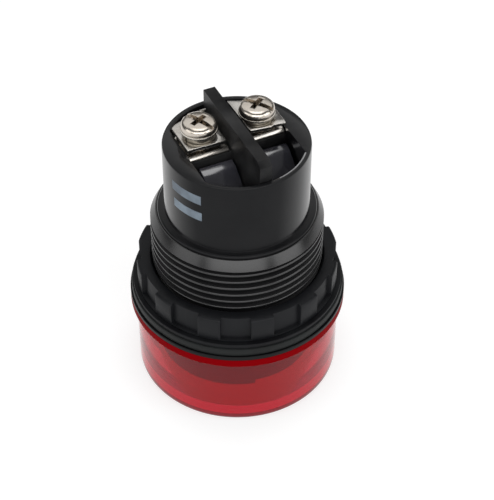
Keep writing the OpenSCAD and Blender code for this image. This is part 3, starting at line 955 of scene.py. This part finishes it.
def holder():
    """The dark cup behind the lens that carries the board, with a shallow stepped edge."""
    node = "lamp_holder"
    foot, top = low(node).z, high(node).z
    outer, rim = 14.9, high(node).x
    cup = turned("lamp_holder_cup", [
        (0, foot), (outer - 0.15, foot), (outer, foot + 0.15), (outer, top - 1.1),
        (rim, top - 1.0), (rim, top), (outer - 1.2, top), (outer - 1.2, foot + 3.2),
        (outer - 2.4, foot + 3.2), (outer - 2.4, foot + 1.2), (0, foot + 1.2)], 128)
    step_in, step_h, step_from, step_sweep = 0.8, 2.1, -103, 180
    carve(cup, sector("holder_step", [
        (outer - step_in, foot - 1), (outer + 1, foot - 1), (outer + 1, foot + step_h),
        (outer - step_in, foot + step_h)], step_from, step_sweep, 60))
    for i in range(LAMPS):
        angle = i * TURN / LAMPS
        carve(cup, rod("lamp_hole", LAMP_HOLE_R, (LAMP_RING_R * math.cos(angle),
                                                  LAMP_RING_R * math.sin(angle), foot - 1),
                       4, 48))
    return done(cup, "pilot_light", FINISH["holder"], [node])


lens()
holder()
threaded_barrel()
gasket()
washer_under_nut()
castle_nut()
rear_body()
printed_fields()
terminal_block()
for side_name in SIDES:
    wire_ramp(side_name)
    fixed_plate(side_name)
    split_washer(side_name)
left_clamp()
right_clamp()
terminal_stack()


# ---------------------------------------------------------------- camera, floor and lights

CAMERA_TURN = 25.0
CAMERA_AT = Vector((0, -186.52, 199.46))
LOOKS_AT = Vector((1.69, -4.14, 28.48))
LENS_MM, SENSOR_MM = 104.2, 36
CAMERA_ROLL = 0.15
FLOOR_SIZE, FLOOR_Z_M = 3, -0.0002
PAPER = (0.9, 0.9, 0.9, 1)      # the floor as the object's light meets it
SHADOWED = (0.45, 0.45, 0.45, 1)  # the floor as it is seen: this much of it takes shadow
GLOW = 0.66                     # and this much is always there
ROOM = 0.12
LAMPS_AIM = (0, 0, 0.03)
SOFTBOXES = {                   # place and size in metres, power in watts
    "softbox_front": ((0.0, -0.60, 0.33), (0.90, 0.42), 3.1),
    "softbox_top": ((0.0, 0.08, 0.78), (0.50, 0.40), 1.4),
    "softbox_back": ((0.0, 0.42, 0.55), (1.20, 0.50), 1.6),
    "softbox_left": ((-0.60, -0.30, 0.30), (0.50, 0.55), 1.4),
    "softbox_right": ((0.60, -0.30, 0.30), (0.50, 0.55), 2.0)}

swing = Matrix.Rotation(-math.radians(CAMERA_TURN), 3, "Z")


def stand_camera():
    data = bpy.data.cameras.new("camera")
    data.lens = LENS_MM
    data.sensor_width = SENSOR_MM
    data.clip_start = 0.01
    data.clip_end = 20
    camera = bpy.data.objects.new("camera", data)
    bpy.context.scene.collection.objects.link(camera)
    camera.location = swing @ CAMERA_AT * MM
    aim = (swing @ (LOOKS_AT - CAMERA_AT)).to_track_quat("-Z", "Y")
    roll = Matrix.Rotation(math.radians(CAMERA_ROLL), 3, "Z").to_quaternion()
    camera.rotation_mode = "QUATERNION"
    camera.rotation_quaternion = aim @ roll
    bpy.context.scene.camera = camera


def floor_paper():
    """Paper that looks white, in metal and through the lens too, and keeps the shadow."""
    paper = bpy.data.materials.new("floor_paper")
    paper.use_nodes = True
    tree = paper.node_tree
    shader = tree.nodes["Principled BSDF"]
    shader.inputs["Base Color"].default_value = PAPER
    shader.inputs["Roughness"].default_value = 0.9
    seen = tree.nodes.new("ShaderNodeBsdfDiffuse")
    seen.inputs["Color"].default_value = SHADOWED
    white = tree.nodes.new("ShaderNodeEmission")
    white.inputs["Strength"].default_value = GLOW
    both = tree.nodes.new("ShaderNodeAddShader")
    rays = tree.nodes.new("ShaderNodeLightPath").outputs
    looked_at = math_node(tree, "MAXIMUM", rays["Is Camera Ray"],
                          math_node(tree, "MAXIMUM", rays["Is Glossy Ray"],
                                    rays["Is Transmission Ray"]))
    lit = tree.nodes.new("ShaderNodeMixShader")
    tree.links.new(looked_at, lit.inputs[0])
    tree.links.new(seen.outputs[0], both.inputs[0])
    tree.links.new(white.outputs[0], both.inputs[1])
    tree.links.new(shader.outputs[0], lit.inputs[1])
    tree.links.new(both.outputs[0], lit.inputs[2])
    tree.links.new(lit.outputs[0], tree.nodes["Material Output"].inputs["Surface"])
    return paper


def room():
    """An even, dim room that is white to look at."""
    world = bpy.data.worlds.new("studio")
    bpy.context.scene.world = world
    world.use_nodes = True
    tree = world.node_tree
    colour = tree.nodes["Background"]
    colour.inputs["Color"].default_value = (1, 1, 1, 1)
    rays = tree.nodes.new("ShaderNodeLightPath").outputs
    seen = math_node(tree, "MAXIMUM", rays["Is Camera Ray"], rays["Is Transmission Ray"])
    tree.links.new(math_node(tree, "MAXIMUM", seen, ROOM), colour.inputs["Strength"])


def softbox(name, where, size, power):
    data = bpy.data.lights.new(name, "AREA")
    data.shape = "RECTANGLE"
    data.size, data.size_y = size
    data.energy = power
    lamp = bpy.data.objects.new(name, data)
    bpy.context.scene.collection.objects.link(lamp)
    aim = swing @ (Vector(LAMPS_AIM) - Vector(where))
    lamp.location = swing @ Vector(where)
    lamp.rotation_mode = "QUATERNION"
    lamp.rotation_quaternion = aim.to_track_quat("-Z", "Y")


stand_camera()
drop_all()
bpy.ops.mesh.primitive_plane_add(size=FLOOR_SIZE)
floor = bpy.context.object
floor.name = "floor"
floor.location = (0, 0, FLOOR_Z_M)
bpy.ops.object.transform_apply(location=True)
floor.data.materials.append(floor_paper())
room()
for name, (where, size, power) in SOFTBOXES.items():
    softbox(name, where, size, power)

bpy.context.scene.view_settings.view_transform = "Standard"
